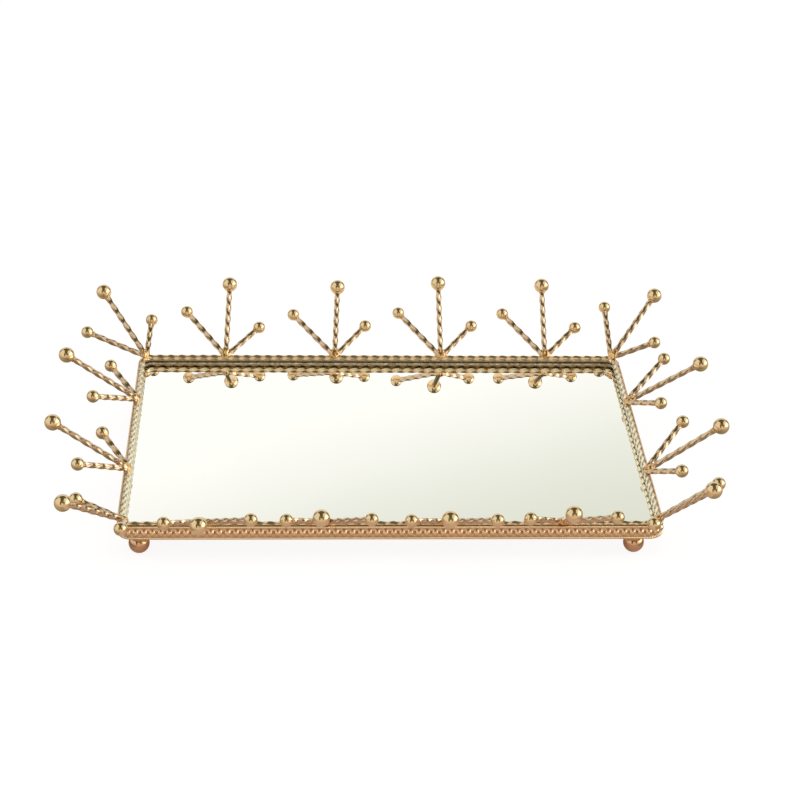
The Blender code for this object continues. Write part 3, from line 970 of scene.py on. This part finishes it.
def make_world():
    """White to the camera and the mirror; to the metal a studio with side lights and a white wall."""
    world = bpy.data.worlds.new("studio")
    bpy.context.scene.world = world
    world.use_nodes = True
    nodes = world.node_tree.nodes
    links = world.node_tree.links
    nodes.clear()
    parts = nodes.new("ShaderNodeSeparateXYZ")
    links.new(nodes.new("ShaderNodeTexCoord").outputs["Generated"], parts.inputs["Vector"])
    right, back, up = (parts.outputs[axis] for axis in "XYZ")
    rays = nodes.new("ShaderNodeLightPath")
    depth = rays.outputs["Ray Depth"]
    first = math_node(nodes, links, "LESS_THAN", depth, BACKDROP_DEPTH)
    later = math_node(nodes, links, "GREATER_THAN", depth, BACKDROP_AGAIN_DEPTH)
    again = math_node(nodes, links, "MULTIPLY_ADD", later, BACKDROP_AGAIN, METAL_BACKDROP)
    strength = math_node(nodes, links, "MAXIMUM", first, again)
    mirrored = math_node(nodes, links, "MULTIPLY", rays.outputs["Is Singular Ray"], strength)
    studio = studio_light(nodes, links, (right, back, up))
    light = mix_node(nodes, links, mirrored, studio, backdrop_light(nodes, links, right, up))
    seen = nodes.new("ShaderNodeBackground")
    seen.inputs["Color"].default_value = (*WHITE, 1)
    lit = nodes.new("ShaderNodeBackground")
    links.new(light, lit.inputs["Color"])
    choice = nodes.new("ShaderNodeMixShader")
    links.new(rays.outputs["Is Camera Ray"], choice.inputs["Fac"])
    links.new(lit.outputs["Background"], choice.inputs[1])
    links.new(seen.outputs["Background"], choice.inputs[2])
    output = nodes.new("ShaderNodeOutputWorld")
    links.new(choice.outputs["Shader"], output.inputs["Surface"])


def floor_tone(nodes, links):
    """The floor's colour for the metal, which turns from front to back, to a painted shadow at the sides
    and to another tone far off.
    """
    place = object_place(nodes)
    parts = nodes.new("ShaderNodeSeparateXYZ")
    links.new(place, parts.inputs["Vector"])
    aside = math_node(nodes, links, "ABSOLUTE", parts.outputs["X"])
    distance = nodes.new("ShaderNodeVectorMath")
    distance.operation = "LENGTH"
    links.new(place, distance.inputs[0])
    turns = (
        (parts.outputs["Y"], FLOOR_TURNS, BACK_FLOOR),
        (aside, FLOOR_SIDES, SIDE_FLOOR_SHADOW),
        (distance.outputs["Value"], FLOOR_FADES, FAR_FLOOR),
    )
    tone = FRONT_FLOOR
    for value, ends, colour in turns:
        tone = mix_node(nodes, links, range_node(nodes, links, value, ends), tone, colour)
    return tone


def floor_material():
    """Pale to the metal, and lifted to white for the camera, so that only a faint shadow shows on it."""
    material, nodes, links, shader = new_material("floor")
    rays = nodes.new("ShaderNodeLightPath")
    to_camera = rays.outputs["Is Camera Ray"]
    tone = mix_node(nodes, links, to_camera, floor_tone(nodes, links), CAMERA_FLOOR)
    links.new(tone, shader.inputs["Base Color"])
    shader.inputs["Roughness"].default_value = 1
    shader.inputs["Specular IOR Level"].default_value = 0
    shader.inputs["Emission Color"].default_value = (*WHITE, 1)
    glossy = rays.outputs["Is Glossy Ray"]
    mirrored = math_node(nodes, links, "ADD", glossy, rays.outputs["Is Transmission Ray"], clamp=True)
    later = math_node(nodes, links, "GREATER_THAN", rays.outputs["Ray Depth"], GLOW_AGAIN_DEPTH)
    strength = math_node(nodes, links, "MULTIPLY_ADD", later, GLOW_AGAIN, FLOOR_GLOW)
    glow = math_node(nodes, links, "MULTIPLY", mirrored, strength)
    lift = math_node(nodes, links, "MULTIPLY", to_camera, FLOOR_LIFT)
    links.new(math_node(nodes, links, "ADD", lift, glow), shader.inputs["Emission Strength"])
    return material


def make_floor():
    mesh = bpy.data.meshes.new("floor")
    half = FLOOR_SIZE / 2
    corners = [(-half, -half, 0), (half, -half, 0), (half, half, 0), (-half, half, 0)]
    mesh.from_pydata(corners, [], [(0, 1, 2, 3)])
    mesh.materials.append(floor_material())
    floor = bpy.data.objects.new("floor", mesh)
    bpy.context.scene.collection.objects.link(floor)


def make_lamp():
    """A wide soft lamp overhead, out of the metal's sight, for the floor's light and the soft shadow."""
    data = bpy.data.lights.new("overhead", "AREA")
    data.shape = "DISK"
    data.size = LAMP_SIZE
    data.energy = LAMP_POWER
    lamp = bpy.data.objects.new("overhead", data)
    lamp.location = LAMP_PLACE
    lamp.visible_glossy = False
    bpy.context.scene.collection.objects.link(lamp)


def make_camera():
    data = bpy.data.cameras.new("camera")
    data.lens = CAMERA_LENS
    data.sensor_width = CAMERA_SENSOR
    camera = bpy.data.objects.new("camera", data)
    bpy.context.scene.collection.objects.link(camera)
    aim = Matrix.Rotation(CAMERA_YAW, 3, "Z") @ Matrix.Rotation(math.pi / 2 - CAMERA_PITCH, 3, "X")
    roll = Matrix.Rotation(CAMERA_ROLL, 3, "Z")
    camera.matrix_world = Matrix.Translation(CAMERA_PLACE) @ (aim @ roll).to_4x4()
    bpy.context.scene.camera = camera


make_world()
make_floor()
make_lamp()
make_camera()
bpy.context.scene.view_settings.view_transform = "Standard"
